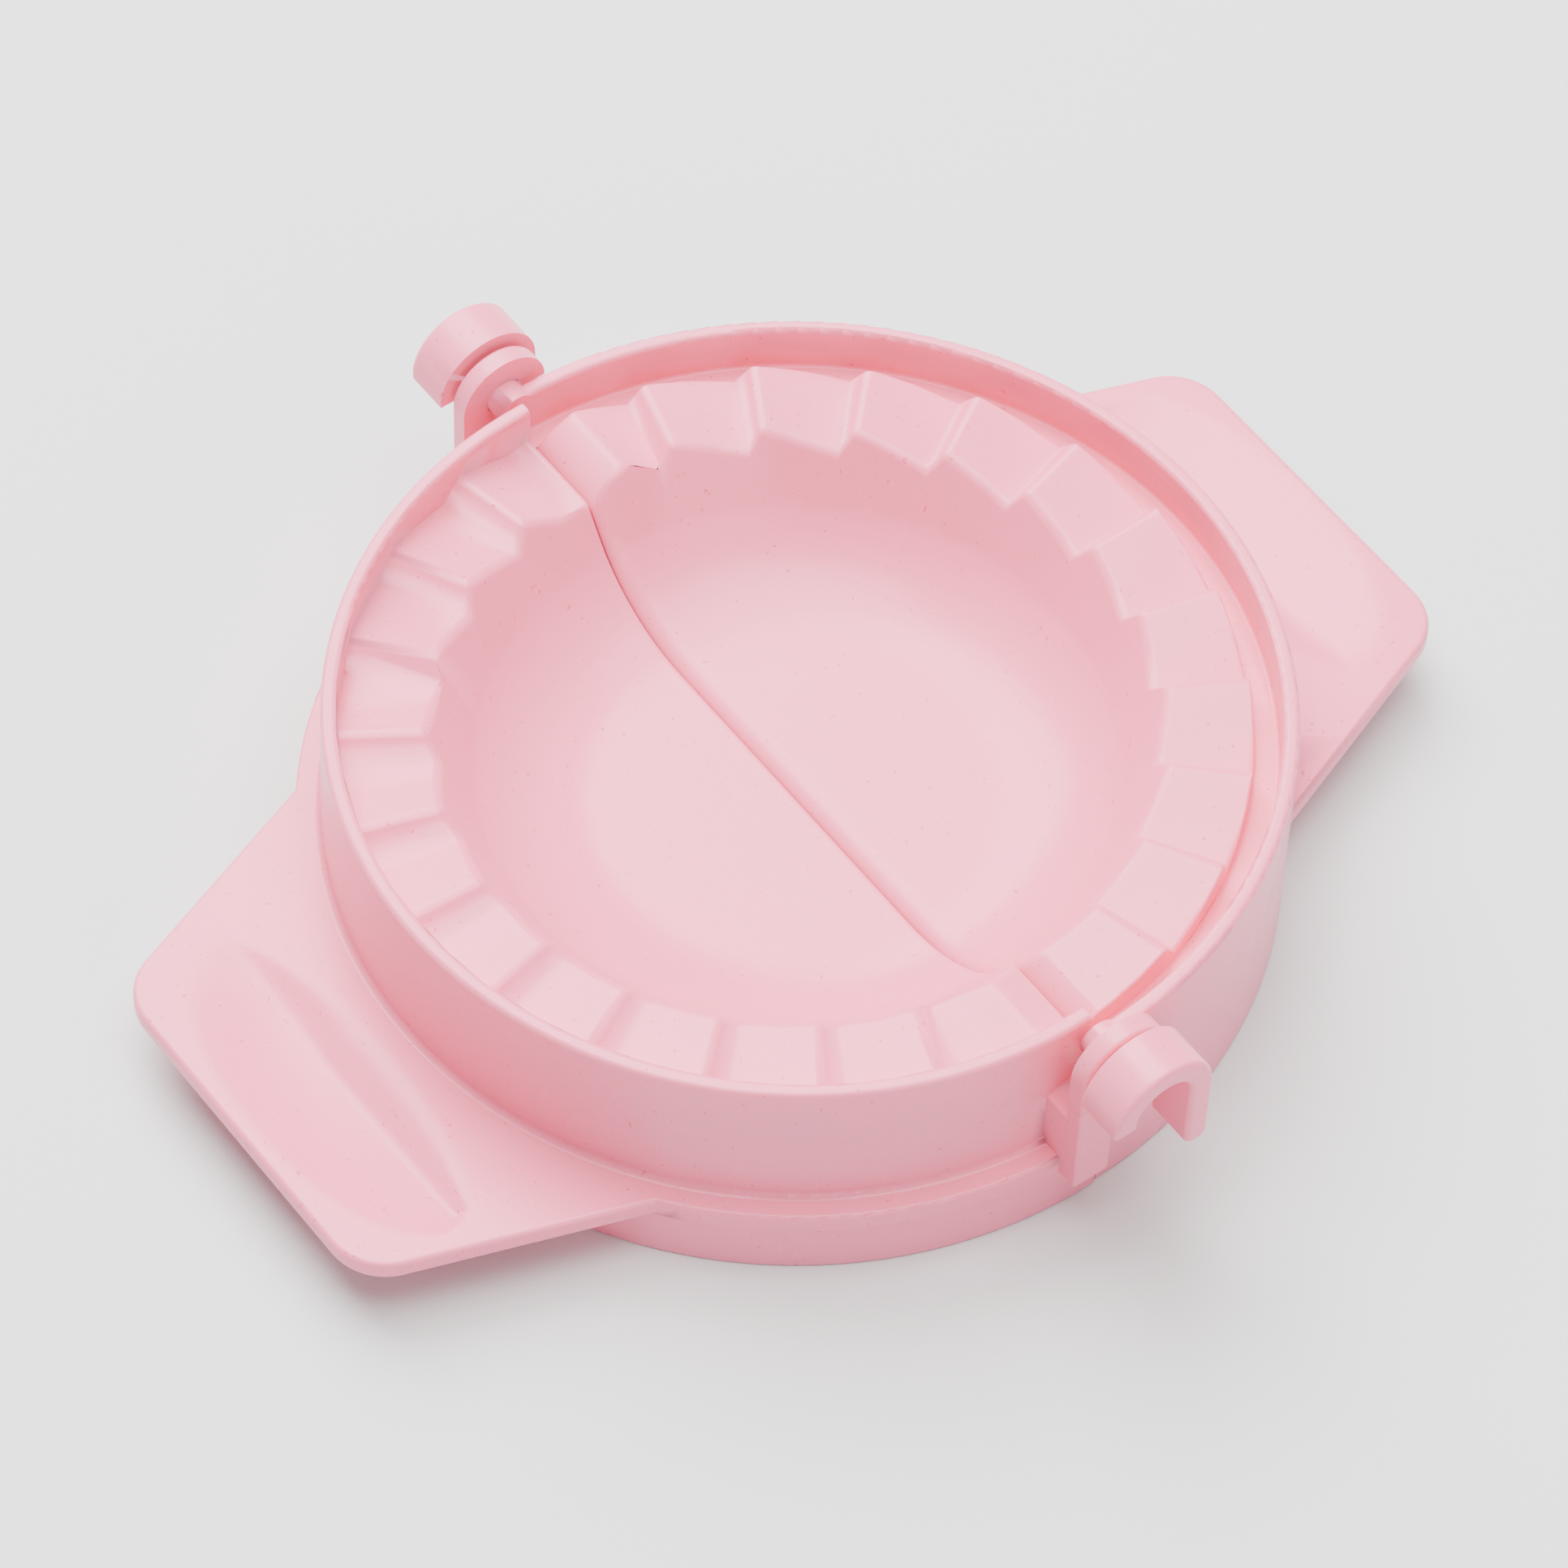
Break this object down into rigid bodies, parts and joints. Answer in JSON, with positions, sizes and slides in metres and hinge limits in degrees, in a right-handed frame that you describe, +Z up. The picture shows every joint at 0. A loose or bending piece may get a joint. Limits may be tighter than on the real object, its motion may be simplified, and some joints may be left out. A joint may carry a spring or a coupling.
{
  "type": "empanada press",
  "caption": "Hinged plastic hand press for folded pies, lying open flat: two half bowls with saw-tooth crimps, a rim and a handle plate each, joined by snap hinges.",
  "frame": {"origin": "on the table under the hinge axis, midway between the two hinges", "axes": "+X from the split towards the upper half's handle, +Y along the hinge axis, +Z up"},
  "size_m": [0.138, 0.1182, 0.0297],
  "materials": {
    "pink_plastic": "semi-gloss moulded pink"
  },
  "bodies": {
    "lower_half": {"lower_half": "pink_plastic"},
    "upper_half": {"upper_half": "pink_plastic"}
  },
  "joints": [
    {"name": "fold", "type": "hinge", "parent": "lower_half", "child": "upper_half", "pos_m": [0, 0, 0.0237], "axis": [0, -1, 0], "range_deg": [0, 180]}
  ]
}
